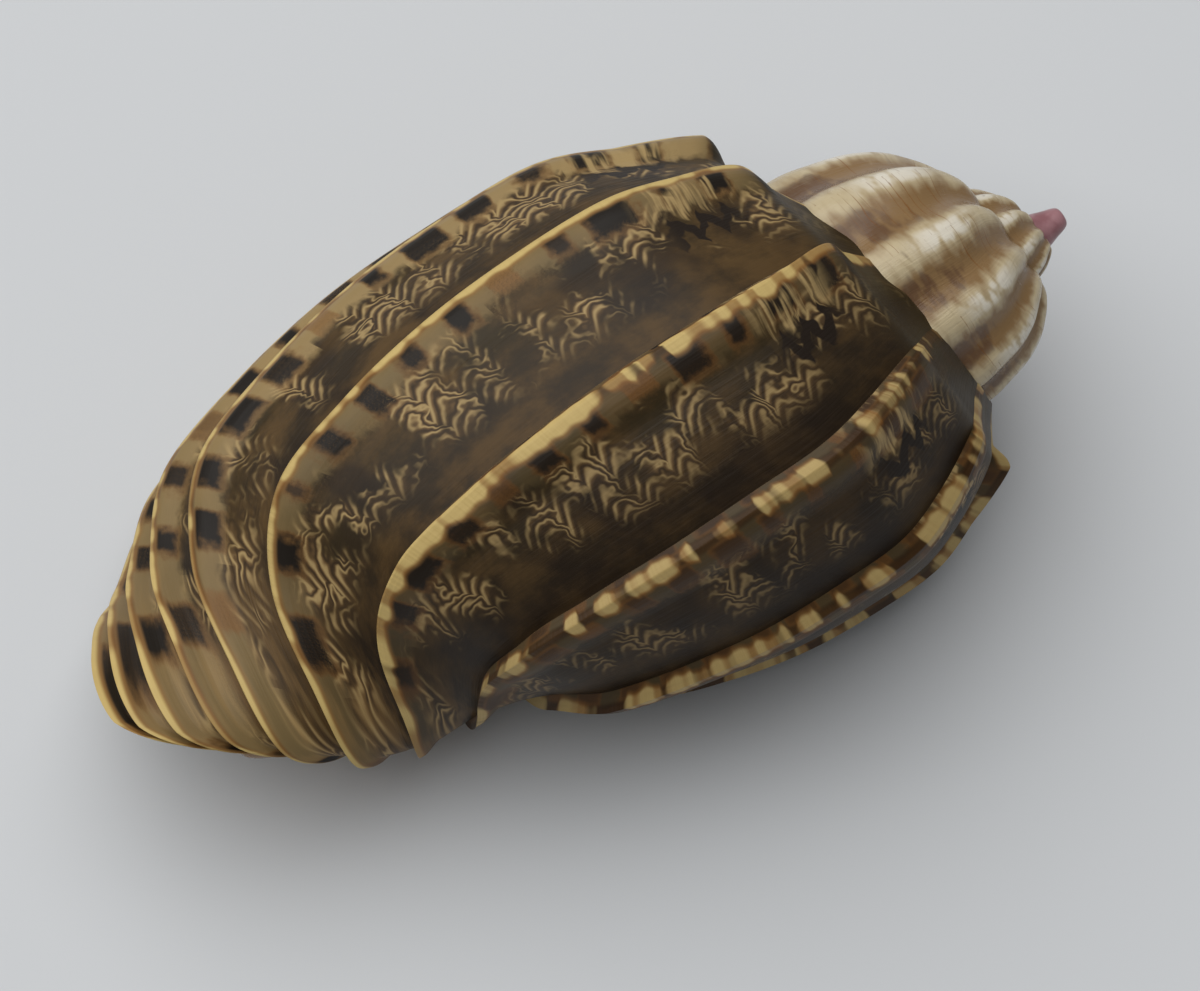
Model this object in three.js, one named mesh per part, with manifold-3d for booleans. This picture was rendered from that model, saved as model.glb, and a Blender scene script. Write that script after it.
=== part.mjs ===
// Articulate harp shell, lying on its aperture on a flat surface.
//
// The shell is one natural piece. Every whorl is the same growing curve, swept round
// the axis and shrunk toward the apex. Lengths are in millimetres, +Z is up and +X
// points along the shell toward the apex. The origin is below the middle of the shell,
// on the surface that it rests on.
import * as THREE from "three";
import Module from "manifold-3d";

// Growth: how fast the whorls shrink toward the apex, per turn and per squared turn.
const SHRINK = 0.70;
const SHRINK_CHANGE = -0.035;

// Overall scale, set so that the shell is 78 mm long.
const SIZE = 1.077;

// Where the outer lip stands round the axis, and how the shell lies on its aperture.
const LIP_ANGLE = -23;
const ROLL = 5.0;
const PITCH = 7.2;

// The outer curve at the lip, from the seam over the shoulder to the front tip.
// Each point is [radius, distance from the apex, how far the growth line lags in degrees].
const CREST = [
  [12.8, 17.5, -12], [14.5, 18.7, -13], [16.6, 19.9, -13.5], [19.6, 21.3, -14], [22.4, 26.2, -10.4],
  [24.6, 32.0, -8.4], [24.9, 39.9, -8.0], [24.4, 48.2, -7.3], [22.6, 56.8, -6.3],
  [19.75, 64.5, -3.5], [14.5, 68.9, 8], [11.0, 70.4, 41], [9.3, 70.8, 88], [6.6, 67.0, 120],
];
const HOLLOW = [
  [12.7, 17.6, -12], [14.3, 18.8, -13], [16.2, 20.0, -13], [18.1, 21.6, -13], [21.0, 26.8, -10.4],
  [23.0, 32.6, -8.4], [23.3, 39.9, -8.0], [22.8, 47.8, -7.3], [21.0, 56.0, -6.3],
  [18.2, 63.0, -3.5], [13.4, 67.6, 8], [10.1, 69.3, 41], [8.5, 69.8, 88], [5.8, 66.0, 120],
];

// The same places on the whorls of the spire, which are rounder and higher.
const SPIRE_CREST = [
  [12.3, 12.2], [13.8, 12.5], [15.5, 13.2], [18.4, 15.3], [22.0, 19.1], [24.5, 23.7], [26.2, 29.5],
  [27.3, 35.5], [26.5, 43.0], [20.0, 55.0], [14.5, 62.0], [11.0, 66.0], [9.4, 68.0], [6.6, 67.0],
];
const SPIRE_HOLLOW = [
  [11.6, 12.8], [12.9, 13.3], [14.3, 14.3], [17.0, 16.6], [20.3, 20.1], [22.7, 24.2], [24.4, 29.8],
  [25.4, 35.6], [24.8, 43.0], [18.6, 55.0], [13.4, 61.4], [10.2, 65.0], [8.7, 67.0], [5.8, 66.0],
];

// The spire leans a little to one side of the axis.
const SPIRE_SHIFT = 0.8;
const SPIRE_SHIFT_ANGLE = 13;

// The youngest and the oldest ribs of the last whorl end in longer points at the shoulder,
// and the front end is a little longer at the lip.
const SPIKE = 1.6;
const LIP_FRONT = 1.3;

// The wall's inner side at the lip, which bounds the space that opens at the aperture.
const CAVITY = [
  [13.0, 19.4, -11], [16.6, 20.6, -12], [19.6, 26.4, -10.4], [21.7, 32.4, -8.4],
  [22.1, 40.0, -8.0], [21.6, 47.8, -7.3], [19.7, 55.6, -6.3], [16.5, 61.8, -3.0],
  [11.4, 67.2, 8], [7.8, 74.0, 18], [5.4, 73.0, 15], [5.2, 66.0, 10], [5.0, 56.0, 4],
  [5.6, 46.0, 0], [7.6, 38.0, -4], [10.6, 32.0, -6], [12.3, 25.0, -8],
];

// Ribs, as turns back from the lip. Further back they are evenly spaced.
const RIBS = [0, 0.022, 0.052, 0.091, 0.144, 0.224, 0.317, 0.416, 0.516, 0.63, 0.74, 0.85, 0.96];
const SPIRE_RIB_STEP = 0.09;

// The pillar at the middle, as [radius, distance from the apex].
const PILLAR = [
  [0, 20], [4.6, 24], [4.9, 34], [4.6, 44], [4.4, 52], [3.8, 58], [2.6, 63], [1.2, 66], [0, 66.6],
];

// The smooth blunt tip where the shell began growing, as [radius, distance from the apex].
const TIP = [[0, 0], [0.6, 0.06], [0.88, 0.4], [1.12, 1.2], [1.45, 2.2], [1.7, 3.2], [0, 3.8]];

// How far back from the lip the hollow goes, in turns.
const CAVITY_TURNS = 0.62;

// The shell's lowest points are worn to small flats this deep.
const WORN = 0.35;

function lerp(a, b, t) {
  return a + (b - a) * t;
}

function smoothstep(from, to, x) {
  return THREE.MathUtils.smoothstep(x, from, to);
}

// A smooth curve through a list of points, at a place counted in points.
function along(points, place) {
  const last = points.length - 1;
  const i = Math.min(Math.max(Math.floor(place), 0), last - 1);
  const t = place - i;
  const p0 = points[Math.max(i - 1, 0)];
  const p1 = points[i];
  const p2 = points[i + 1];
  const p3 = points[Math.min(i + 2, last)];
  return p1.map((value, k) => {
    const leave = (p2[k] - p0[k]) / 2;
    const arrive = (p3[k] - value) / 2;
    return (2 * value - 2 * p2[k] + leave + arrive) * t ** 3
      + (-3 * value + 3 * p2[k] - 2 * leave - arrive) * t ** 2 + leave * t + value;
  });
}

function scaleAt(turn) {
  const early = Math.min(turn, 1);
  return SIZE * Math.exp(-SHRINK * turn + SHRINK_CHANGE * early * early);
}

const ribTurns = [...RIBS];
while (ribTurns[ribTurns.length - 1] < 4) {
  ribTurns.push(ribTurns[ribTurns.length - 1] + SPIRE_RIB_STEP);
}

// Height between hollow and crest, where toRib runs from 0 to 1 at the rib. On the last whorl
// it climbs to a blade that drops steeply behind; on the spire the ribs are round folds.
function ribShare(toRib, turn) {
  const blade = 0.4 * toRib ** 2 + 0.6 * smoothstep(0.7, 0.9, toRib);
  const fold = Math.cos(Math.PI * toRib) ** 2;
  return lerp(blade, fold, smoothstep(0.98, 1.08, turn));
}

// A point on the outside, in cylinder terms: radius, distance from the apex, angle. The first
// whorls are narrow, so that the smooth tip stands clear of them.
function outside(turn, place, share) {
  const spire = smoothstep(0.75, 1.05, turn);
  const last = [along(HOLLOW, place), along(CREST, place)];
  const early = [along(SPIRE_HOLLOW, place), along(SPIRE_CREST, place)];
  const [low, high] = [0, 1].map((n) => early[n].map((value, k) => lerp(last[n][k], value, spire)));
  const lag = lerp(last[0][2], last[1][2], share);
  const spiked = 1 - smoothstep(0.15, 0.2, turn) + smoothstep(0.52, 0.6, turn) - spire;
  const spike = SPIKE * spiked * Math.max(1 - Math.abs(place - 3), 0) * share;
  const front = LIP_FRONT * (1 - smoothstep(0, 0.12, turn)) * Math.max(1 - Math.abs(place - 12) / 1.5, 0);
  const size = scaleAt(turn);
  const angle = LIP_ANGLE + Math.min(lag, lerp(130, 0, smoothstep(0.5, 0.8, turn))) + 360 * turn;
  const shift = SPIRE_SHIFT * smoothstep(0.8, 1.1, turn) * (1 - smoothstep(1.5, 2.2, turn));
  const narrow = 1 - 0.5 * smoothstep(2.3, 2.8, turn);
  const aside = shift * Math.cos(THREE.MathUtils.degToRad(angle - SPIRE_SHIFT_ANGLE));
  return {
    radius: size * narrow * lerp(low[0], high[0], share) + aside,
    depth: size * (lerp(low[1], high[1], share) - spike + front),
    angle,
  };
}

// Laid down: turned so that the lip and the swelling beside the aperture are lowest.
const LYING = new THREE.Matrix4().makeRotationY(THREE.MathUtils.degToRad(-PITCH))
  .multiply(new THREE.Matrix4().makeRotationX(THREE.MathUtils.degToRad(ROLL)));

function place3(radius, depth, degrees) {
  const angle = THREE.MathUtils.degToRad(degrees);
  return new THREE.Vector3(-depth, radius * Math.cos(angle), radius * Math.sin(angle)).applyMatrix4(LYING);
}

const wasm = await Module();
wasm.setup();

function toSolid(positions, indices) {
  return new wasm.Manifold(new wasm.Mesh({
    numProp: 3,
    vertProperties: new Float32Array(positions),
    triVerts: new Uint32Array(indices),
  }));
}

// A closed tube through rings of points. Each end is capped by cutting the ring's flat
// outline into triangles, which fits the ring however it is bent.
function tube(rings, outlines) {
  const count = rings[0].length;
  const positions = rings.flat().flatMap((p) => [p.x, p.y, p.z]);
  const indices = [];
  for (let i = 0; i < rings.length - 1; i += 1) {
    for (let j = 0; j < count; j += 1) {
      const a = i * count + j;
      const b = i * count + (j + 1) % count;
      indices.push(a, b, a + count, b, b + count, a + count);
    }
  }
  const base = (rings.length - 1) * count;
  for (const [a, b, c] of THREE.ShapeUtils.triangulateShape(outlines[0], [])) {
    indices.push(a, b, c);
  }
  for (const [a, b, c] of THREE.ShapeUtils.triangulateShape(outlines[1], [])) {
    indices.push(base + a, base + c, base + b);
  }
  return toSolid(positions, indices);
}

// Part of a whorl, filled in to near the axis.
function whorl(turns, places) {
  const rings = [];
  const flats = [];
  for (const [turn, share] of turns) {
    const size = scaleAt(turn);
    const ring = places.map((place) => outside(turn, place, share));
    const top = ring[0];
    const foot = ring[ring.length - 1];
    const core = 1.6 * size;
    const middle = (top.depth + foot.depth) / 2;
    ring.push({ radius: core, depth: foot.depth - 3 * size, angle: top.angle });
    ring.push({ radius: core * 0.7, depth: middle, angle: top.angle });
    ring.push({ radius: core, depth: top.depth - size, angle: top.angle });
    rings.push(ring.map((p) => place3(p.radius, p.depth, p.angle)));
    flats.push(ring.map((p) => new THREE.Vector2(p.depth, p.radius)));
  }
  return tube(rings, [flats[0], flats[flats.length - 1]]);
}

// Sample turns from one rib to another, at the given steps toward each rib. A stretch
// begins below the surface of the stretch before it, so that the two overlap cleanly.
const DROP = 0.006;
function turnsBetween(first, last, steps) {
  const turns = first > 0 ? [[ribTurns[first] - 0.03, -1], [ribTurns[first], 0.9]] : [[0, 1]];
  for (let k = first; k < last; k += 1) {
    for (const toRib of steps) {
      const turn = lerp(ribTurns[k + 1] - DROP, ribTurns[k], toRib);
      turns.push([turn, ribShare(toRib, turn)]);
    }
    turns.push([ribTurns[k + 1], 1]);
  }
  return turns;
}

const FINE = [0, 1, 1.6, 2, 2.5, 3, 3.4, 3.8, 4.4, 5, 6, 7, 8, 9, 9.6, 10.2, 10.8, 11.4, 12, 12.5, 13];
const COARSE = [0, 1, 2, 2.6, 3, 3.5, 4, 5, 6.5, 8.5, 11, 13];
const SMALL = [0, 2, 3, 4, 5.5, 8, 13];

let body = whorl(turnsBetween(0, 12, [0.9, 0.8, 0.7, 0.4, 0]), FINE);
body = body.add(whorl(turnsBetween(12, 21, [0.8, 0.65, 0.5, 0.35, 0.2]), COARSE));
body = body.add(whorl(turnsBetween(21, 31, [0.75, 0.5, 0.25]), SMALL));
body = body.add(whorl(turnsBetween(31, 38, [0.5]), SMALL));

// The space inside, from just in front of the lip back to where it is out of sight.
const cavityRings = [];
const cavityFlats = [];
const CAVITY_STEPS = 22;
for (let n = 0; n <= CAVITY_STEPS; n += 1) {
  const turn = lerp(-0.03, CAVITY_TURNS, n / CAVITY_STEPS);
  const size = scaleAt(Math.max(turn, 0));
  const narrow = 1 - 0.5 * smoothstep(CAVITY_TURNS * 0.7, CAVITY_TURNS, turn);
  const ring = CAVITY.map(([radius, depth, lag]) => ({
    radius: lerp(14, radius, narrow) * size,
    depth: lerp(42, depth, narrow) * size,
    angle: LIP_ANGLE + lag + 360 * turn,
  }));
  cavityRings.push(ring.map((p) => place3(p.radius, p.depth, p.angle)));
  cavityFlats.push(ring.map((p) => new THREE.Vector2(p.depth, p.radius)));
}
body = body.subtract(tube(cavityRings, [cavityFlats[0], cavityFlats[CAVITY_STEPS]]));

function lathe(profile, sides) {
  const geometry = new THREE.LatheGeometry(profile.map(([x, y]) => new THREE.Vector2(x, y)), sides);
  geometry.rotateZ(Math.PI / 2);
  geometry.applyMatrix4(LYING);
  return fromGeometry(geometry);
}

// Shared corners joined, so that the surface is closed.
function fromGeometry(geometry) {
  const source = geometry.getAttribute("position");
  const index = geometry.getIndex();
  const seen = new Map();
  const positions = [];
  const corner = (n) => {
    const p = [source.getX(n), source.getY(n), source.getZ(n)];
    const key = p.map((value) => Math.round(value * 1e4)).join();
    if (!seen.has(key)) {
      seen.set(key, positions.length / 3);
      positions.push(...p);
    }
    return seen.get(key);
  };
  const indices = [];
  for (let n = 0; n < index.count; n += 3) {
    const [a, b, c] = [0, 1, 2].map((k) => corner(index.getX(n + k)));
    if (a !== b && b !== c && c !== a) {
      indices.push(a, b, c);
    }
  }
  return toSolid(positions, indices);
}

body = body.add(lathe(PILLAR.map(([x, y]) => [x * SIZE, y * SIZE]), 20));
body = body.add(lathe(TIP, 14));

function cornersOf(mesh) {
  const corners = [];
  for (let n = 0; n < mesh.vertProperties.length; n += 3) {
    corners.push(new THREE.Vector3().fromArray(mesh.vertProperties, n));
  }
  return corners;
}

// The lowest points are cut to small flats.
const lying = new THREE.Box3().setFromPoints(cornersOf(body.getMesh()));
const floor = lying.min.z + WORN;
const under = new THREE.BoxGeometry(200, 200, 40);
under.translate(0, 0, floor - 20);
body = body.subtract(fromGeometry(under));

// Things numbered from 0 up that can be joined into groups.
function grouping(count) {
  const leader = Array.from({ length: count }, (_, n) => n);
  const find = (n) => {
    let at = n;
    while (leader[at] !== at) {
      leader[at] = leader[leader[at]];
      at = leader[at];
    }
    return at;
  };
  const join = (a, b) => {
    leader[find(b)] = find(a);
  };
  return { find, join };
}

// Joining and cutting leave very short edges. The two ends of each become one corner.
const SHORT_EDGE = 0.02;
const whole = body.getMesh();
const corners = cornersOf(whole);
const merged = grouping(corners.length);
const triangles = [];
for (let n = 0; n < whole.triVerts.length; n += 3) {
  triangles.push([...whole.triVerts.slice(n, n + 3)]);
}
for (const [a, b, c] of triangles) {
  for (const [from, to] of [[a, b], [b, c], [c, a]]) {
    if (corners[from].distanceTo(corners[to]) < SHORT_EDGE) {
      merged.join(from, to);
    }
  }
}
const faces = new Map();
for (const triangle of triangles) {
  const face = triangle.map(merged.find);
  if (new Set(face).size < 3) {
    continue;
  }
  const key = [...face].sort((a, b) => a - b).join();
  if (faces.has(key)) {
    faces.delete(key);
  } else {
    faces.set(key, face);
  }
}

// They also leave specks apart from the shell, which are dropped.
const bodies = grouping(corners.length);
for (const [a, b, c] of faces.values()) {
  bodies.join(a, b);
  bodies.join(a, c);
}
const sizes = new Map();
for (const [a] of faces.values()) {
  sizes.set(bodies.find(a), (sizes.get(bodies.find(a)) ?? 0) + 1);
}
const largest = [...sizes].sort((a, b) => b[1] - a[1])[0][0];
const kept = [...faces.values()].filter(([a]) => bodies.find(a) === largest);

// Moved so that the surface is at zero height and the middle of the shell is above the origin.
const geometry = new THREE.BufferGeometry();
geometry.setAttribute("position", new THREE.BufferAttribute(new Float32Array(whole.vertProperties), 3));
geometry.setIndex(kept.flat());
geometry.translate(-(lying.min.x + lying.max.x) / 2, -(lying.min.y + lying.max.y) / 2, -floor);

const material = new THREE.MeshStandardMaterial({ color: 0x8d7768, roughness: 0.28, metalness: 0 });
const shell = new THREE.Mesh(geometry, material);
shell.name = "shell";
const model = new THREE.Group();
model.add(shell);

export default model;
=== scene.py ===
"""Articulate harp shell lying on its aperture: fine surfaces, shell colours, studio light and camera."""
import math
import bpy
import numpy as np
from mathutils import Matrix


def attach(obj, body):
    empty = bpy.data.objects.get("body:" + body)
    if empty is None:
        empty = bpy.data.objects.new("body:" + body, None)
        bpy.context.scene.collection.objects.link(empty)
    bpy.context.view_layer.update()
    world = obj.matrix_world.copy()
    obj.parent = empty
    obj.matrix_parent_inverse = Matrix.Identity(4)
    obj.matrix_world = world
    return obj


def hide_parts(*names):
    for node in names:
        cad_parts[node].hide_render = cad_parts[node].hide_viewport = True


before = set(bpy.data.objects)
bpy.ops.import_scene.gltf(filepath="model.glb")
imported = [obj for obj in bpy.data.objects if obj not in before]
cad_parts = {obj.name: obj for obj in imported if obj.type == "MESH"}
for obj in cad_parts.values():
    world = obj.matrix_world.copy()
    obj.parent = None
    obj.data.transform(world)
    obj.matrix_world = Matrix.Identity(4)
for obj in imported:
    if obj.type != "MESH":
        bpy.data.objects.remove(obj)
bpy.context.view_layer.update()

MM = 0.001

# Growth, size and how the shell lies, the same values as the part's source.
SHRINK = 0.70
SHRINK_CHANGE = -0.035
SIZE = 1.077
LIP_ANGLE = -23.0
ROLL = math.radians(5.0)
PITCH = math.radians(7.2)
APEX_PLACE = np.array([39.102, -4.055, 17.298])

# The outer curve at the lip on a rib and between ribs: radius, distance from the apex, lag.
CREST = np.array([
    (12.8, 17.5, -12), (14.5, 18.7, -13), (16.6, 19.9, -13.5), (19.6, 21.3, -14), (22.4, 26.2, -10.4),
    (24.6, 32.0, -8.4), (24.9, 39.9, -8.0), (24.4, 48.2, -7.3), (22.6, 56.8, -6.3), (19.75, 64.5, -3.5),
    (14.5, 68.9, 8), (11.0, 70.4, 41), (9.3, 70.8, 88), (6.6, 67.0, 120)])
HOLLOW = np.array([
    (12.7, 17.6, -12), (14.3, 18.8, -13), (16.2, 20.0, -13), (18.1, 21.6, -13), (21.0, 26.8, -10.4),
    (23.0, 32.6, -8.4), (23.3, 39.9, -8.0), (22.8, 47.8, -7.3), (21.0, 56.0, -6.3), (18.2, 63.0, -3.5),
    (13.4, 67.6, 8), (10.1, 69.3, 41), (8.5, 69.8, 88), (5.8, 66.0, 120)])

# The same places on the whorls of the spire: radius, distance from the apex.
SPIRE_CREST = np.array([
    (12.3, 12.2), (13.8, 12.5), (15.5, 13.2), (18.4, 15.3), (22.0, 19.1), (24.5, 23.7), (26.2, 29.5),
    (27.3, 35.5), (26.5, 43.0), (20.0, 55.0), (14.5, 62.0), (11.0, 66.0), (9.4, 68.0), (6.6, 67.0)])
SPIRE_HOLLOW = np.array([
    (11.6, 12.8), (12.9, 13.3), (14.3, 14.3), (17.0, 16.6), (20.3, 20.1), (22.7, 24.2), (24.4, 29.8),
    (25.4, 35.6), (24.8, 43.0), (18.6, 55.0), (13.4, 61.4), (10.2, 65.0), (8.7, 67.0), (5.8, 66.0)])

# Turns back from the lip over which the spire's form takes over from the last whorl's.
SPIRE_CURVES = (0.75, 1.05)
SPIRE_FOLDS = (0.98, 1.08)
LAG_FADES = (0.5, 0.8)
LAG_LIMIT = 130

# The spire stands a little to one side of the axis and narrows toward the tip.
SPIRE_SHIFT = 0.8
SPIRE_SHIFT_ANGLE = 13.0
SHIFT_GROWS = (0.8, 1.1)
SHIFT_FADES = (1.5, 2.2)
TIP_NARROWS = (2.3, 2.8)

# Points of the ribs at the shoulder, and how far the lip's front end runs on.
SPIKE = 1.6
LIP_FRONT = 1.3

# The hollow's section at the lip: the outer wall's inner side, then back along the pillar.
CAVITY = np.array([
    (13.0, 19.4, -11), (16.6, 20.6, -12), (19.6, 26.4, -10.4), (21.7, 32.4, -8.4), (22.1, 40.0, -8.0),
    (21.6, 47.8, -7.3), (19.7, 55.6, -6.3), (16.5, 61.8, -3.0), (11.4, 67.2, 8), (7.8, 74.0, 18)])
CAVITY_BACK = np.array([
    (5.4, 73.0, 15), (5.2, 66.0, 10), (5.0, 56.0, 4), (5.6, 46.0, 0), (7.6, 38.0, -4), (10.6, 32.0, -6),
    (12.3, 25.0, -8), (13.0, 19.4, -11)])
CAVITY_TURNS = 0.62
CAVITY_MIDDLE = (14, 42)
FRONT_WALL = 1.1
LID_CORE = 1.6

# Ribs in turns back from the lip, by the photograph on the last whorl and evenly on the spire.
RIBS = np.array([0, 0.022, 0.052, 0.091, 0.144, 0.224, 0.317, 0.416, 0.516, 0.63, 0.74, 0.85, 0.96])
SPIRE_RIBS = 33
SPIRE_RIB_STEP = 0.09
RIB_TURNS = np.concatenate([RIBS, RIBS[-1] + SPIRE_RIB_STEP * np.arange(1, SPIRE_RIBS + 1)])
RIB_DROP = 0.006

# Turned pieces on the axis: radius, distance from the apex.
PILLAR = np.array([
    (0.0, 20), (4.6, 24), (4.9, 34), (4.6, 44), (4.4, 52), (3.8, 58), (2.6, 63), (1.2, 66), (0.0, 66.6)])
TIP_PROFILE = np.array([
    (0.0, 0.0), (0.6, 0.06), (0.88, 0.4), (1.12, 1.2), (1.45, 2.2), (1.7, 3.2), (0.0, 3.8)])


def smoothstep(low, high, x):
    """Smooth climb from 0 at low to 1 at high."""
    t = np.clip((x - low) / (high - low), 0, 1)
    return t * t * (3 - 2 * t)


def along(points, place):
    """Smooth curve through points, at places counted in points (a cubic with averaged slopes)."""
    last = len(points) - 1
    i = np.clip(np.floor(place).astype(int), 0, last - 1)
    t = (place - i)[:, None]
    before, start, end, after = (points[np.clip(i + k, 0, last)] for k in (-1, 0, 1, 2))
    leave = (end - before) / 2
    arrive = (after - start) / 2
    return ((2 * start - 2 * end + leave + arrive) * t ** 3
            + (-3 * start + 3 * end - 2 * leave - arrive) * t ** 2 + leave * t + start)


def scale_at(turn):
    """Size against the lip: exp of a straight line in turns, bent a little over the last whorl."""
    return SIZE * np.exp(-SHRINK * turn + SHRINK_CHANGE * np.minimum(turn, 1) ** 2)


def world_place(radius, depth, degrees):
    """Cylinder round the shell's axis, turned and moved as the shell lies, in metres."""
    angle = np.radians(degrees)
    x, y, z = -depth, radius * np.cos(angle), radius * np.sin(angle)
    y, z = y * math.cos(ROLL) - z * math.sin(ROLL), y * math.sin(ROLL) + z * math.cos(ROLL)
    x, z = x * math.cos(PITCH) - z * math.sin(PITCH), x * math.sin(PITCH) + z * math.cos(PITCH)
    place = np.stack([x, y, z], axis=-1) + APEX_PLACE
    place[..., 2] = np.maximum(place[..., 2], 0)
    return place * MM


def rib_share(phase, turn):
    """Height between hollow and crest: a climb to a steep blade, cos squared folds on the spire."""
    blade = 0.4 * phase ** 2 + 0.6 * smoothstep(0.7, 0.9, phase)
    fold = np.cos(np.pi * phase) ** 2
    spire = smoothstep(*SPIRE_FOLDS, turn)
    return blade * (1 - spire) + fold * spire


def outside_point(turn, place, share):
    """Radius, depth and angle on the outside: crest and hollow curves mixed by share, then scaled."""
    spire = smoothstep(*SPIRE_CURVES, turn)[:, None, None]
    low, high = along(HOLLOW, place)[None], along(CREST, place)[None]
    lag = (low + (high - low) * share[:, :, None])[..., 2]
    low = low[..., :2] * (1 - spire) + along(SPIRE_HOLLOW, place)[None] * spire
    high = high[..., :2] * (1 - spire) + along(SPIRE_CREST, place)[None] * spire
    point = low + (high - low) * share[:, :, None]
    turn = turn[:, None]
    spiked = 1 - smoothstep(0.15, 0.2, turn) + smoothstep(0.52, 0.6, turn) - spire[:, :, 0]
    spike = SPIKE * spiked * np.maximum(1 - np.abs(place - 3), 0)[None] * share
    front = LIP_FRONT * (1 - smoothstep(0, 0.12, turn)) * np.maximum(1 - np.abs(place - 12) / 1.5, 0)[None]
    size = scale_at(turn)
    lag = np.minimum(lag, LAG_LIMIT * (1 - smoothstep(*LAG_FADES, turn)))
    angle = LIP_ANGLE + lag + 360 * turn
    shift = SPIRE_SHIFT * smoothstep(*SHIFT_GROWS, turn) * (1 - smoothstep(*SHIFT_FADES, turn))
    narrow = 1 - 0.5 * smoothstep(*TIP_NARROWS, turn)
    radius = size * narrow * point[..., 0] + shift * np.cos(np.radians(angle - SPIRE_SHIFT_ANGLE))
    return radius, size * (point[..., 1] - spike + front), angle


def with_lid(turn, radius, depth, angle):
    """The same points with two columns before the first, which close the whorl's top near the axis."""
    size = scale_at(turn)[:, None]
    inward = np.array([[1.0, 0.5]])
    radius = np.concatenate([radius[:, :1] + (LID_CORE * size - radius[:, :1]) * inward, radius], axis=1)
    depth = np.concatenate([depth[:, :1] - size * inward, depth], axis=1)
    return radius, depth, angle[:, [0, 0, *range(angle.shape[1])]]


def rib_samples(first, last, between):
    """Turns from rib first to rib last, close together at the crest; phase falls from 1 to 0."""
    phase = 1 - np.append(np.linspace(0, 1, between - 1) ** 1.25 * 0.995, 1.0)
    start = RIB_TURNS[first:last, None]
    end = RIB_TURNS[first + 1:last + 1, None] - RIB_DROP
    turn = start + (end - start) * (1 - phase)
    number = np.arange(first, last)[:, None] + (phase == 0)
    return turn.reshape(-1), (phase + 0 * turn).reshape(-1), number.reshape(-1)


def add_surface(name, grid, material, layers=(), wrap=False):
    """Quads between neighbouring rows and columns of a grid of places, with one value layer each."""
    rows, columns = grid.shape[:2]
    index = np.arange(rows * columns).reshape(rows, columns)
    if wrap:
        index = np.concatenate([index, index[:, :1]], axis=1)
    quads = np.stack([index[:-1, :-1], index[1:, :-1], index[1:, 1:], index[:-1, 1:]], axis=-1).reshape(-1, 4)
    mesh = bpy.data.meshes.new(name)
    mesh.vertices.add(rows * columns)
    mesh.vertices.foreach_set("co", grid.reshape(-1))
    mesh.loops.add(quads.size)
    mesh.loops.foreach_set("vertex_index", quads.reshape(-1))
    mesh.polygons.add(len(quads))
    mesh.polygons.foreach_set("loop_start", np.arange(0, quads.size, 4))
    mesh.polygons.foreach_set("use_smooth", np.ones(len(quads), dtype=bool))
    for layer, values in dict(layers).items():
        mesh.attributes.new(layer, "FLOAT", "POINT").data.foreach_set("value", values.reshape(-1))
    mesh.update()
    mesh.validate()
    mesh.materials.append(material)
    piece = bpy.data.objects.new(name, mesh)
    bpy.context.scene.collection.objects.link(piece)
    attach(piece, "root")
    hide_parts("shell")
    return piece


class Nodes:
    """Short ways to add and link shader nodes in one tree."""

    def __init__(self, tree):
        self.tree = tree

    def add(self, kind, inputs=None, **settings):
        node = self.tree.nodes.new(kind)
        for key, value in settings.items():
            setattr(node, key, value)
        for key, value in (inputs or {}).items():
            self.feed(node.inputs[key], value)
        return node

    def feed(self, socket, value):
        if isinstance(value, bpy.types.NodeSocket):
            self.tree.links.new(value, socket)
        else:
            socket.default_value = value

    def math(self, operation, a, b=0.0, c=0.0):
        return self.add("ShaderNodeMath", {0: a, 1: b, 2: c}, operation=operation).outputs[0]

    def times(self, a, b):
        return self.math("MULTIPLY", a, b)

    def plus(self, a, b):
        return self.math("ADD", a, b)

    def minus(self, a, b):
        return self.math("SUBTRACT", a, b)

    def over(self, a, b):
        return self.math("DIVIDE", a, b)

    def ramp(self, value, low, high):
        """Smooth climb from 0 at low to 1 at high."""
        inputs = {0: value, 1: low, 2: high, 3: 0.0, 4: 1.0}
        return self.add("ShaderNodeMapRange", inputs, interpolation_type="SMOOTHSTEP").outputs[0]

    def window(self, value, low, high, soft):
        """1 between low and high, 0 outside, with soft edges."""
        rise = self.ramp(value, low - soft, low + soft)
        fall = self.ramp(value, high - soft, high + soft)
        return self.minus(rise, fall)

    def mix(self, share, a, b):
        node = self.add("ShaderNodeMix", data_type="RGBA")
        self.feed(node.inputs[0], share)
        self.feed(node.inputs[6], a)
        self.feed(node.inputs[7], b)
        return node.outputs[2]

    def layer(self, name):
        return self.add("ShaderNodeAttribute", attribute_name=name).outputs["Fac"]

    def vector(self, x, y, z):
        return self.add("ShaderNodeCombineXYZ", {0: x, 1: y, 2: z}).outputs[0]

    def noise(self, vector, scale, detail=3.0, rough=0.55):
        inputs = {"Vector": vector, "Scale": scale, "Detail": detail, "Roughness": rough}
        return self.add("ShaderNodeTexNoise", inputs).outputs["Fac"]


def tone(hexes):
    """Screen colour as linear red, green, blue and alpha."""
    parts = [int(hexes[k:k + 2], 16) / 255 for k in (0, 2, 4)]
    return tuple(p / 12.92 if p < 0.04045 else ((p + 0.055) / 1.055) ** 2.4 for p in parts) + (1.0,)


CREAM = tone("cdb271")
PALE = tone("a98f60")
RUST = tone("7d4d1c")
SQUARE = tone("1b140c")
DARK_BROWN = tone("20160d")
LINE_BROWN = tone("2b1f12")
PINKISH = tone("755a39")
TAUPE = tone("584223")
PLUM = tone("312514")
OLIVE = tone("392e13")
FRONT = tone("86673c")
SPIRE_TAN = tone("8a6d49")
SPIRE_CREAM = tone("c6b592")
# Whitish colour painted on the spire's ridges as a highlight.
SPIRE_PAINTED_HIGHLIGHT = tone("e6dfd0")
SPIRE_STAIN = tone("54382c")
MAUVE = tone("a3787c")
INNER = tone("c9b08c")
# Painted shade colour for deep inside the hollow.
INNER_PAINTED_SHADE = tone("8d6a48")
CHESTNUT = tone("3a1a0c")


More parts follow.
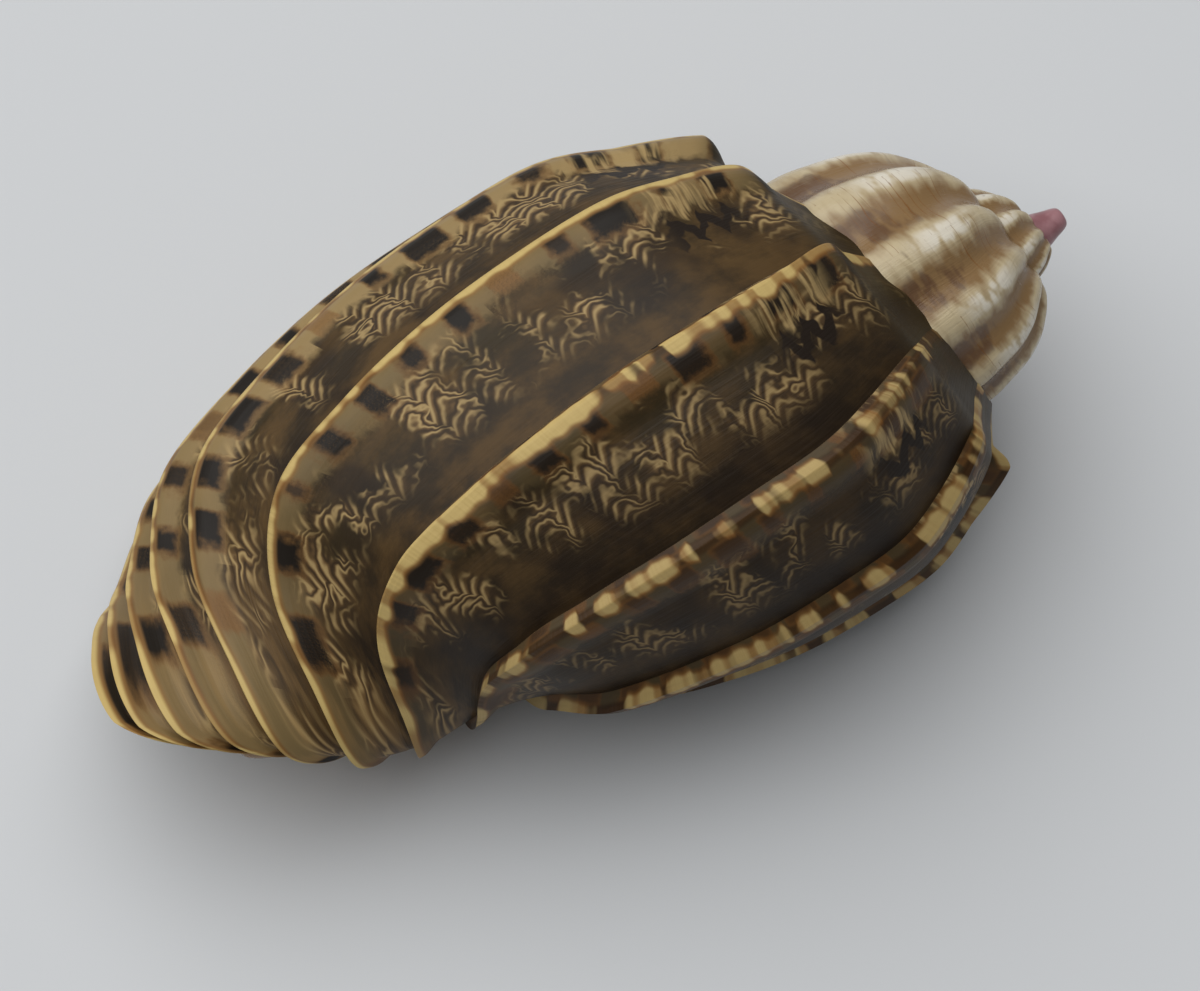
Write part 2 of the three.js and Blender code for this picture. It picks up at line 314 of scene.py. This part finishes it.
def socket(group, name, kind, side, value=None):
    made = group.interface.new_socket(name=name, in_out=side, socket_type=kind)
    if value is not None:
        made.default_value = value


def make_growth_lines():
    """Node group: fine lines that follow the lip's edge, as a height from 0 to 1."""
    group = bpy.data.node_groups.new("growth lines", "ShaderNodeTree")
    socket(group, "Across", "NodeSocketFloat", "INPUT", 0.0)
    socket(group, "Along", "NodeSocketFloat", "INPUT", 0.0)
    socket(group, "Rib", "NodeSocketFloat", "INPUT", 0.0)
    socket(group, "Height", "NodeSocketFloat", "OUTPUT")
    n = Nodes(group)
    inside = n.add("NodeGroupInput")
    place = n.vector(inside.outputs[0], n.times(inside.outputs[1], 0.12), inside.outputs[2])
    n.add("NodeGroupOutput", {0: n.noise(place, 1.0, 3.0, 0.6)})
    return group


def make_clouds():
    """Node group: soft clouds on the piece's own coordinates, as a share from 0 to 1."""
    group = bpy.data.node_groups.new("clouds", "ShaderNodeTree")
    socket(group, "Scale", "NodeSocketFloat", "INPUT", 60.0)
    socket(group, "Share", "NodeSocketFloat", "OUTPUT")
    n = Nodes(group)
    inside = n.add("NodeGroupInput")
    cloud = n.noise(n.add("ShaderNodeTexCoord").outputs["Object"], inside.outputs[0], 4.0)
    n.add("NodeGroupOutput", {0: n.ramp(cloud, 0.4, 0.65)})
    return group


GROWTH_LINES = make_growth_lines()
CLOUDS = make_clouds()

# Finish of the shell, glossy under a thin glaze.
COAT_ROUGHNESS = 0.15
SPECULAR_LEVEL = 0.22
SHELL_IOR = 1.53


def growth_lines(n, across, along_profile, rib=0.0):
    node = n.add("ShaderNodeGroup", node_tree=GROWTH_LINES)
    n.feed(node.inputs[0], across)
    n.feed(node.inputs[1], along_profile)
    n.feed(node.inputs[2], rib)
    return node.outputs[0]


def clouds(n, scale):
    node = n.add("ShaderNodeGroup", node_tree=CLOUDS)
    n.feed(node.inputs[0], scale)
    return node.outputs[0]


def new_material(name):
    material = bpy.data.materials.new(name)
    material.use_nodes = True
    material.node_tree.nodes.clear()
    return material, Nodes(material.node_tree)


def finish_material(n, colour, roughness, normal=None, coat=0.0):
    shader = n.add("ShaderNodeBsdfPrincipled")
    n.feed(shader.inputs["Base Color"], colour)
    n.feed(shader.inputs["Roughness"], roughness)
    n.feed(shader.inputs["Coat Weight"], coat)
    shader.inputs["Coat Roughness"].default_value = COAT_ROUGHNESS
    shader.inputs["Specular IOR Level"].default_value = SPECULAR_LEVEL
    shader.inputs["IOR"].default_value = SHELL_IOR
    if normal is not None:
        n.feed(shader.inputs["Normal"], normal)
    n.add("ShaderNodeOutputMaterial", {0: shader.outputs[0]})


def bump(n, height, strength, distance):
    return n.add("ShaderNodeBump", {"Height": height, "Strength": strength, "Distance": distance}).outputs[0]


class Skin:
    """The outside's layers. Away is counted from the crest; away, reach and track are millimetres."""

    def __init__(self, n):
        self.n = n
        self.share = n.layer("share")
        self.number = n.layer("rib_number")
        self.profile = n.layer("profile")
        self.turn = n.layer("turn")
        self.away = n.layer("away")
        self.reach = n.layer("reach")
        self.track = n.layer("track")
        self.seed = n.times(self.number, 3.7)
        self.fraction = n.over(self.away, n.math("MAXIMUM", self.reach, 0.5))
        self.last_whorl = n.ramp(self.turn, 1.0, 0.9)
        self.old = n.ramp(self.turn, 0.26, 0.46)
        self.mottle = self.spots(0.35, 0.16, 5.0, rough=0.6)
        # Drift bends the lengths along the profile that the wavy marks are laid on.
        slow = n.vector(n.times(self.track, 0.18), n.times(self.away, 0.26), self.seed)
        self.drift = n.noise(slow, 1.0, 3.0)
        self.bent = n.plus(self.track, n.times(self.drift, 6.0))
        self.scallop = n.math("ABSOLUTE", n.math("SINE", n.times(self.bent, 0.85)))
        broad = n.vector(n.times(self.track, 0.2), n.times(self.away, 0.16), n.plus(self.seed, 9.0))
        self.patch = n.noise(broad, 1.0, 3.0)

    def spots(self, away_scale, track_scale, detail, shift=0.0, rough=0.55):
        """Noise over the skin, stretched by a scale each way, its own on every rib."""
        n = self.n
        seed = n.plus(self.seed, shift) if shift else self.seed
        place = n.vector(n.times(self.away, away_scale), n.times(self.track, track_scale), seed)
        return n.noise(place, 1.0, detail, rough)

    def along_rib(self, track_scale, rib_scale, detail):
        """Noise that changes only along a rib, its own on every rib."""
        n = self.n
        place = n.vector(n.times(self.track, track_scale), n.times(self.number, rib_scale), 0.0)
        return n.noise(place, 1.0, detail)


def ground_colour(n, skin):
    """Brown with slow clouds: more olive beside the rib, blackish in blotches, and darker brown on older
    ribs, partly the shell's own dark ground and partly painted shade on the side turned away from the lamp.
    """
    ground = n.mix(n.ramp(skin.mottle, 0.36, 0.66), PLUM, TAUPE)
    olive = n.times(n.ramp(skin.fraction, 0.75, 0.1), 0.75)
    ground = n.mix(olive, ground, n.mix(n.ramp(skin.mottle, 0.3, 0.7), OLIVE, TAUPE))
    blotch = skin.spots(0.14, 0.14, 2.0, shift=4.0)
    ground = n.mix(n.times(n.ramp(blotch, 0.48, 0.66), 0.7), ground, DARK_BROWN)
    # Older ribs go darker brown: partly the shell's darker ground there, partly painted shade on the side
    # turned away from the lamp.
    return n.mix(n.times(n.ramp(skin.turn, 0.24, 0.46), 0.6), ground, DARK_BROWN)


def add_wavy_lines(n, skin, colour):
    """Nested wavy lines in patches: even lines across, pushed by half waves along the profile."""
    level = n.plus(n.over(skin.away, 1.15), n.times(skin.scallop, 1.3))
    level = n.math("FRACT", n.plus(level, n.times(skin.drift, 7.0)))
    near_end = n.times(n.ramp(skin.fraction, 0.58, 0.82), n.ramp(skin.reach, 4.5, 7.5))
    zone = n.times(n.ramp(skin.away, 1.6, 2.8), n.minus(1.0, near_end))
    zone = n.times(zone, skin.last_whorl)
    patchy = n.times(zone, n.ramp(skin.patch, 0.47, 0.62))
    colour = n.mix(n.times(patchy, n.minus(0.7, n.times(skin.old, 0.35))), colour, PINKISH)
    light = n.times(n.window(level, 0.58, 0.9, 0.16), n.times(zone, n.ramp(skin.patch, 0.44, 0.58)))
    colour = n.mix(n.times(light, n.minus(1.0, n.times(skin.old, 0.5))), colour, PALE)
    dark = n.times(n.window(level, 0.14, 0.46, 0.14), zone)
    dark = n.times(dark, n.plus(0.1, n.times(n.ramp(skin.patch, 0.4, 0.58), 0.7)))
    return n.mix(dark, colour, LINE_BROWN)


def add_front_end(n, skin, colour):
    """The front end is warmer, with tan streaks along its growth lines."""
    grain = skin.spots(0.9, 0.5, 3.0)
    front = n.times(n.ramp(skin.profile, 9.8, 11.8), n.ramp(grain, 0.4, 0.65))
    return n.mix(n.times(front, 0.5), colour, FRONT)


def add_squares(n, skin, colour):
    """Dark squares on a pale belt behind each crest, in cells that differ in width and depth."""
    uneven = n.noise(n.vector(n.times(skin.track, 0.3), skin.seed, 0.0), 1.0, 2.0)
    cell = n.over(n.plus(skin.track, n.times(uneven, 5.0)), 5.0)
    cell = n.plus(cell, n.times(skin.number, 0.13))
    which = n.vector(n.math("FLOOR", cell), skin.number, 0.0)
    own = n.add("ShaderNodeTexWhiteNoise", {"Vector": which}).outputs["Value"]
    ragged = n.noise(n.vector(skin.track, skin.away, skin.seed), 1.4, 3.0)
    from_middle = n.math("ABSOLUTE", n.minus(n.math("FRACT", cell), 0.5))
    from_middle = n.plus(from_middle, n.times(n.minus(ragged, 0.5), 0.2))
    outside_by = n.minus(from_middle, n.plus(0.14, n.times(own, 0.15)))
    far_edge = n.plus(2.0, n.times(own, 1.3))
    beyond = n.plus(n.minus(skin.away, far_edge), n.minus(ragged, 0.5))

    young = n.times(n.ramp(skin.turn, 0.30, 0.16), n.plus(0.5, n.times(n.ramp(skin.profile, 10.5, 7.5), 0.5)))
    belt = n.times(n.ramp(skin.away, 0.3, 0.8), n.ramp(beyond, 0.7, -0.3))
    belt = n.times(belt, skin.last_whorl)
    colour = n.mix(n.times(belt, n.plus(0.12, n.times(young, 0.65))), colour, PALE)
    halo = n.times(belt, n.ramp(outside_by, 0.12, 0.0))
    colour = n.mix(n.times(halo, 0.5), colour, RUST)
    square = n.times(n.ramp(outside_by, 0.1, -0.09), n.ramp(beyond, 0.35, -0.45))
    square = n.times(square, n.times(n.ramp(skin.away, 0.55, 0.95), n.ramp(own, 0.1, 0.3)))
    square = n.times(square, n.minus(skin.last_whorl, n.times(n.ramp(skin.turn, 0.3, 0.5), 0.5)))
    return n.mix(square, colour, SQUARE)


def add_zigzags(n, skin, colour):
    """Bold dark zigzags behind a pale fringe, near the shoulder."""
    zigzag = n.times(n.math("PINGPONG", n.over(skin.bent, 1.3), 1.0), 1.5)
    line = n.window(n.minus(n.over(skin.away, n.over(skin.reach, 9.0)), zigzag), 2.7, 3.9, 0.15)
    zone = n.times(n.window(skin.profile, 3.5, 4.7, 0.25), n.window(skin.turn, 0.1, 0.7, 0.05))
    fringe = n.times(n.window(n.minus(skin.away, zigzag), 0.2, 2.6, 0.4), zone)
    streak = n.noise(n.vector(n.times(skin.track, 1.5), n.times(skin.away, 0.2), skin.seed), 1.0, 2.0)
    colour = n.mix(n.times(fringe, n.ramp(streak, 0.4, 0.62)), colour, PALE)
    return n.mix(n.times(line, zone), colour, DARK_BROWN)


def crest_marks(n, skin, ground):
    """The crest: beaded cream stretches with rust edges and brown gaps, rope-like near one shoulder.

    Gives the share of the skin that it covers, its colour and its cross lines.
    """
    bright = n.plus(skin.along_rib(0.27, 7.3, 2.0), n.times(n.ramp(skin.turn, 0.44, 0.16), 0.28))
    bright = n.ramp(bright, 0.46, 0.54)
    bead = skin.along_rib(0.65, 5.1, 0.0)
    cross = skin.along_rib(2.2, 2.3, 1.0)
    rope = n.times(n.window(skin.profile, 3.0, 4.3, 0.3), n.window(skin.turn, 0.38, 0.46, 0.01))
    cross_share = n.plus(0.05, n.times(rope, 0.6))
    band = n.plus(0.5, n.times(bright, n.plus(0.1, n.times(n.ramp(skin.turn, 0.2, 0.34), 0.35))))
    past_band = n.minus(skin.away, n.times(band, n.plus(0.5, n.times(bead, 1.1))))
    colour = n.mix(n.times(skin.old, 0.55), CREAM, PALE)
    colour = n.mix(n.times(n.ramp(cross, 0.48, 0.64), cross_share), colour, RUST)
    colour = n.mix(n.times(n.ramp(bead, 0.52, 0.35), 0.6), colour, RUST)
    colour = n.mix(n.times(n.ramp(past_band, -0.4, 0.0), 0.8), colour, RUST)
    colour = n.mix(bright, n.mix(0.15, ground, RUST), colour)
    crest = n.times(n.ramp(past_band, 0.3, -0.3), n.ramp(skin.turn, 1.02, 0.95))
    return crest, colour, cross


def spire_colour(n, skin):
    """Cream folds with whitish painted highlights on their ridges, tan between, purplish stains low down,
    faint rust lines.
    """
    cloud = n.noise(n.vector(n.times(skin.turn, 26.0), n.times(skin.track, 0.25), 0.0), 1.0, 2.0)
    cream_share = n.ramp(n.plus(skin.share, n.times(cloud, 1.4)), 0.95, 1.75)
    colour = n.mix(cream_share, SPIRE_TAN, SPIRE_CREAM)
    # Whitish colour painted along the middle of the fold ridges: a painted highlight.
    painted_highlight = n.times(n.ramp(skin.share, 0.75, 1.0), n.window(skin.profile, 3.7, 5.9, 0.6))
    painted_highlight = n.times(painted_highlight, n.ramp(n.times(cloud, n.plus(skin.share, 0.1)), 0.36, 0.56))
    colour = n.mix(n.times(painted_highlight, 0.85), colour, SPIRE_PAINTED_HIGHLIGHT)
    low_down = n.times(n.ramp(skin.profile, 4.6, 6.6), n.ramp(skin.share, 0.9, 0.2))
    stain = n.ramp(n.plus(n.times(cloud, 0.9), n.times(low_down, 0.3)), 0.56, 0.78)
    colour = n.mix(n.times(stain, 0.65), colour, SPIRE_STAIN)
    level = n.math("FRACT", n.plus(n.times(skin.track, 0.5), n.times(skin.scallop, 0.3)))
    faint = n.times(n.window(level, 0.4, 0.5, 0.05), n.ramp(skin.patch, 0.5, 0.65))
    return n.mix(n.times(faint, 0.7), colour, RUST)


def glaze_share(n, skin):
    """Where the dark chestnut glaze lies: low beside the aperture, on the last stretch before the hollow."""
    height = n.add("ShaderNodeSeparateXYZ", {0: n.add("ShaderNodeTexCoord").outputs["Object"]}).outputs[2]
    glaze = n.times(n.window(skin.turn, 0.80, 1.2, 0.035), n.window(skin.profile, 1.4, 10.5, 0.5))
    glaze = n.times(glaze, n.ramp(height, 0.011, 0.007))
    return n.ramp(n.plus(glaze, n.times(clouds(n, 140.0), 0.2)), 0.5, 0.7)


def skin_material():
    """The outside: ground, marks, crests, dark shoulder, spire and glaze, each laid over the last."""
    material, n = new_material("ribbed outside")
    skin = Skin(n)
    ground = ground_colour(n, skin)
    colour = add_wavy_lines(n, skin, ground)
    colour = add_front_end(n, skin, colour)
    colour = add_squares(n, skin, colour)
    colour = add_zigzags(n, skin, colour)
    crest, crest_colour, cross = crest_marks(n, skin, ground)
    colour = n.mix(crest, colour, crest_colour)
    shoulder = n.times(n.ramp(skin.profile, 3.3, 2.6), n.ramp(crest, 0.9, 0.1))
    colour = n.mix(n.times(shoulder, 0.8), colour, n.mix(skin.mottle, PLUM, OLIVE))
    spire = n.ramp(skin.turn, 0.96, 1.06)
    colour = n.mix(spire, colour, spire_colour(n, skin))
    colour = n.mix(glaze_share(n, skin), colour, CHESTNUT)

    lines = growth_lines(n, n.times(skin.turn, 350.0), skin.track)
    relief = n.plus(n.times(lines, 0.5), n.times(n.times(cross, crest), 0.6))
    roughness = n.minus(n.plus(n.times(skin.mottle, 0.15), 0.42), n.times(spire, 0.24))
    finish_material(n, colour, roughness, bump(n, relief, 0.5, 0.0002), coat=n.times(spire, 0.15))
    return material


def inner_material():
    """The hollow: smooth cream glaze, painted darker deeper in as shade, faint growth lines."""
    material, n = new_material("smooth inside")
    turn = n.layer("turn")
    profile = n.layer("profile")
    # Darker deeper into the hollow: painted shade.
    colour = n.mix(n.ramp(turn, 0.02, 0.4), INNER, INNER_PAINTED_SHADE)
    lines = growth_lines(n, n.times(turn, 40.0), n.times(profile, 5.0))
    colour = n.mix(n.times(n.ramp(lines, 0.45, 0.7), 0.35), colour, RUST)
    finish_material(n, colour, 0.24, bump(n, lines, 0.15, 0.0002), coat=0.3)
    return material


def plain_material(name, first, second, scale, roughness, coat):
    """Two colours clouded into each other."""
    material, n = new_material(name)
    finish_material(n, n.mix(clouds(n, scale), first, second), roughness, coat=coat)
    return material


SKIN = skin_material()
INSIDE = inner_material()
GLAZE = plain_material("pillar glaze", tone("b08a5e"), CHESTNUT, 60.0, 0.2, 0.3)
TIP = plain_material("tip", MAUVE, tone("8f6266"), 600.0, 0.3, 0.2)
EDGE = plain_material("lip edge", SPIRE_CREAM, FRONT, 260.0, 0.3, 0.2)


def whorl_surface(name, first, last, between, last_place, place_count, material):
    """Outside of the whorls from one rib to another, with lengths measured on the grid itself.

    The last row before a rib is the foot of that rib's steep back, so it counts as the rib's own.
    """
    turn, phase, number = rib_samples(first, last, between)
    place = np.linspace(0, last_place, place_count)
    share = np.repeat(rib_share(phase, turn)[:, None], place_count, axis=1)
    grid = world_place(*with_lid(turn, *outside_point(turn, place, share)))
    place = place[[0, 0, *range(place_count)]]
    place_count = len(place)
    share = np.repeat(share[:, :1], place_count, axis=1)
    steps = np.linalg.norm(np.diff(grid, axis=0, prepend=grid[:1]), axis=-1) / MM
    walked = np.cumsum(steps, axis=0).reshape(last - first, between, place_count)
    away = walked - walked[:, :1]
    reach = away[:, -1:] + 0 * away
    away[:-1, -1] = steps.reshape(walked.shape)[1:, 0]
    reach[:-1, -1] = reach[1:, 0]
    crest = along(CREST, place)[:, :2] * SIZE
    track = np.cumsum(np.linalg.norm(np.diff(crest, axis=0, prepend=crest[:1]), axis=-1))
    ones = np.ones((len(turn), place_count))
    layers = {
        "share": share,
        "rib_number": ones * number[:, None],
        "profile": ones * place[None],
        "turn": ones * turn[:, None],
        "away": away,
        "reach": reach,
        "track": ones * track[None],
    }
    return add_surface(name, grid, material, layers)


def cavity_rings(turn, places_outer, places_back):
    """Rings of the hollow: the outer wall's inner side, then back along the pillar."""
    ring = np.concatenate([along(CAVITY, places_outer), along(CAVITY_BACK, places_back)])
    size = scale_at(turn)[:, None]
    narrow = 1 - 0.5 * smoothstep(CAVITY_TURNS * 0.7, CAVITY_TURNS, turn)[:, None]
    middle_radius, middle_depth = CAVITY_MIDDLE
    radius = (middle_radius + (ring[None, :, 0] - middle_radius) * narrow) * size
    depth = (middle_depth + (ring[None, :, 1] - middle_depth) * narrow) * size
    angle = LIP_ANGLE + ring[None, :, 2] + 360 * turn[:, None]
    return radius, depth, angle


def hollow_surface():
    """The hollow's wall, from the lip back to a closed end, its faces turned into the hollow."""
    turn = np.linspace(0, CAVITY_TURNS, 90)
    grid = world_place(*cavity_rings(turn, np.linspace(0, 8.2, 90), np.linspace(1, 7, 60)[:-1]))
    ones = np.ones(grid.shape[:2])
    layers = {"turn": ones * turn[:, None], "profile": ones * np.linspace(0, 12, grid.shape[1])[None]}
    return add_surface("shell_hollow", grid[:, ::-1], INSIDE, layers, wrap=True)


def lip_surface():
    """The outer lip's edge: a rounded band from the outside curve to the hollow's curve."""
    count = 220
    outer_place = np.linspace(0.3, 11.0, count)
    inner_place = np.linspace(0.1, 8.2, count)
    zero = np.zeros(1)
    outer = world_place(*outside_point(zero, outer_place, np.ones((1, count))))[0]
    inner = world_place(*cavity_rings(zero, inner_place, np.array([1.0])))[0, :count]
    across = np.linspace(0, 1, 12)[:, None, None]
    grid = outer[None] * (1 - across) + inner[None] * across
    return add_surface("shell_lip", grid, EDGE)


def lining_points(turn, place):
    """The hollow curve of the outside, brought in by the thickness of the wall."""
    share = np.zeros((len(turn), len(place)))
    radius, depth, angle = outside_point(turn, place, share)
    size = scale_at(turn)[:, None]
    return radius - FRONT_WALL * size, depth - FRONT_WALL / 2 * size, angle


def front_lining_surface():
    """Inner side of the front end, where the hollow runs out into the short canal."""
    turn = np.linspace(0, CAVITY_TURNS, 70)
    place = np.linspace(7.8, 13, 60)
    grid = world_place(*lining_points(turn, place))
    ones = np.ones(grid.shape[:2])
    layers = {"turn": ones * turn[:, None], "profile": ones * place[None]}
    return add_surface("shell_front_lining", grid[:, ::-1], INSIDE, layers)


def front_lip_surface():
    """The lip's edge round the front end: from the outside curve to the lining's curve."""
    place = np.linspace(8.5, 13, 80)
    zero = np.zeros(1)
    outer = world_place(*outside_point(zero, place, np.ones((1, len(place)))))[0]
    inner = world_place(*lining_points(zero, place))[0]
    across = np.linspace(0, 1, 6)[:, None, None]
    return add_surface("shell_front_lip", outer[None] * (1 - across) + inner[None] * across, EDGE)


def turned_surface(name, profile, rows, sides, material):
    """A profile of radius and distance from the apex, turned round the shell's axis."""
    points = along(profile, np.linspace(0, len(profile) - 1, rows))
    angle = np.linspace(0, 360, sides, endpoint=False)[None] + np.zeros((rows, 1))
    radius = np.maximum(points[:, :1], 0) + 0 * angle
    depth = points[:, 1:] + 0 * angle
    return add_surface(name, world_place(radius, depth, angle), material, wrap=True)


whorl_surface("shell_last_whorl", 0, 13, between=28, last_place=13, place_count=250, material=SKIN)
whorl_surface("shell_spire", 12, 38, between=20, last_place=8, place_count=110, material=SKIN)
hollow_surface()
lip_surface()
front_lining_surface()
front_lip_surface()
turned_surface("shell_pillar", PILLAR * SIZE, rows=80, sides=72, material=GLAZE)
turned_surface("shell_tip", TIP_PROFILE, rows=60, sides=48, material=TIP)


# The floor, one surface that curves up far behind the shell, in metres.
FLOOR_HALF_WIDTH = 1.6
FLOOR_NEAR = -0.8
FLOOR_FAR = 0.9
FLOOR_BEND = 0.4


def make_floor():
    """A level sheet that bends up behind as a quarter circle."""
    across = np.linspace(-FLOOR_HALF_WIDTH, FLOOR_HALF_WIDTH, 3)
    bend = np.linspace(0, math.pi / 2, 24)
    depth = np.concatenate([[FLOOR_NEAR], FLOOR_FAR + FLOOR_BEND * np.sin(bend)])
    height = np.concatenate([[0.0], FLOOR_BEND * (1 - np.cos(bend))])
    grid = np.stack(np.broadcast_arrays(across[None], depth[:, None], height[:, None]), axis=-1)
    mesh = bpy.data.meshes.new("floor")
    rows, columns = grid.shape[:2]
    index = np.arange(rows * columns).reshape(rows, columns)
    quads = np.stack([index[:-1, :-1], index[:-1, 1:], index[1:, 1:], index[1:, :-1]], axis=-1).reshape(-1, 4)
    mesh.from_pydata(grid.reshape(-1, 3), [], quads.tolist())
    mesh.update()
    material, n = new_material("pale floor")
    shader = n.add("ShaderNodeBsdfPrincipled")
    shader.inputs["Base Color"].default_value = tone("d3d5d7")
    shader.inputs["Roughness"].default_value = 0.7
    n.add("ShaderNodeOutputMaterial", {0: shader.outputs[0]})
    mesh.materials.append(material)
    floor = bpy.data.objects.new("floor", mesh)
    bpy.context.scene.collection.objects.link(floor)


make_floor()

# The photograph's camera: focal length and the apex's place in the view, in millimetres.
IMAGE_WIDTH = 1200
FOCAL_PIXELS = 4200
SENSOR = 36.0
AZIMUTH = math.radians(-32.3)
ELEVATION = math.radians(68.5)
APEX_RIGHT = 33.9
APEX_UP = 20.5
APEX_AWAY = 307.7


def make_camera():
    data = bpy.data.cameras.new("camera")
    data.sensor_width = SENSOR
    data.lens = SENSOR * FOCAL_PIXELS / IMAGE_WIDTH
    data.clip_start = 0.01
    data.clip_end = 10
    back = np.array([math.sin(AZIMUTH) * math.cos(ELEVATION), -math.cos(AZIMUTH) * math.cos(ELEVATION),
                     math.sin(ELEVATION)])
    right = np.array([math.cos(AZIMUTH), math.sin(AZIMUTH), 0])
    up = np.cross(back, right)
    place = (APEX_PLACE - right * APEX_RIGHT - up * APEX_UP + back * APEX_AWAY) * MM
    camera = bpy.data.objects.new("camera", data)
    camera.location = place
    camera.rotation_euler = (math.pi / 2 - ELEVATION, 0, AZIMUTH)
    bpy.context.scene.collection.objects.link(camera)
    bpy.context.scene.camera = camera
    return right, up, back


VIEW_RIGHT, VIEW_UP, VIEW_BACK = make_camera()


def make_light(name, toward, distance, size, power):
    """A square lamp in a direction given along the view's right, up and back, aimed at the shell."""
    data = bpy.data.lights.new(name, "AREA")
    data.size = size
    data.energy = power
    lamp = bpy.data.objects.new(name, data)
    direction = VIEW_RIGHT * toward[0] + VIEW_UP * toward[1] + VIEW_BACK * toward[2]
    direction = direction / np.linalg.norm(direction)
    lamp.location = direction * distance
    z_turn = math.atan2(direction[0], -direction[1])
    lamp.rotation_euler = (math.acos(direction[2]), 0, z_turn)
    bpy.context.scene.collection.objects.link(lamp)


make_light("soft key", toward=(-0.34, 0.66, 1.0), distance=0.9, size=1.3, power=10.8)

# Faint cool light from all round.
ROOM_TINT = (0.93, 0.97, 1.0, 1.0)
ROOM_STRENGTH = 0.13
world = bpy.data.worlds.new("studio")
world.use_nodes = True
background = world.node_tree.nodes["Background"]
background.inputs["Color"].default_value = ROOM_TINT
background.inputs["Strength"].default_value = ROOM_STRENGTH
bpy.context.scene.world = world
bpy.context.scene.view_settings.view_transform = "Standard"
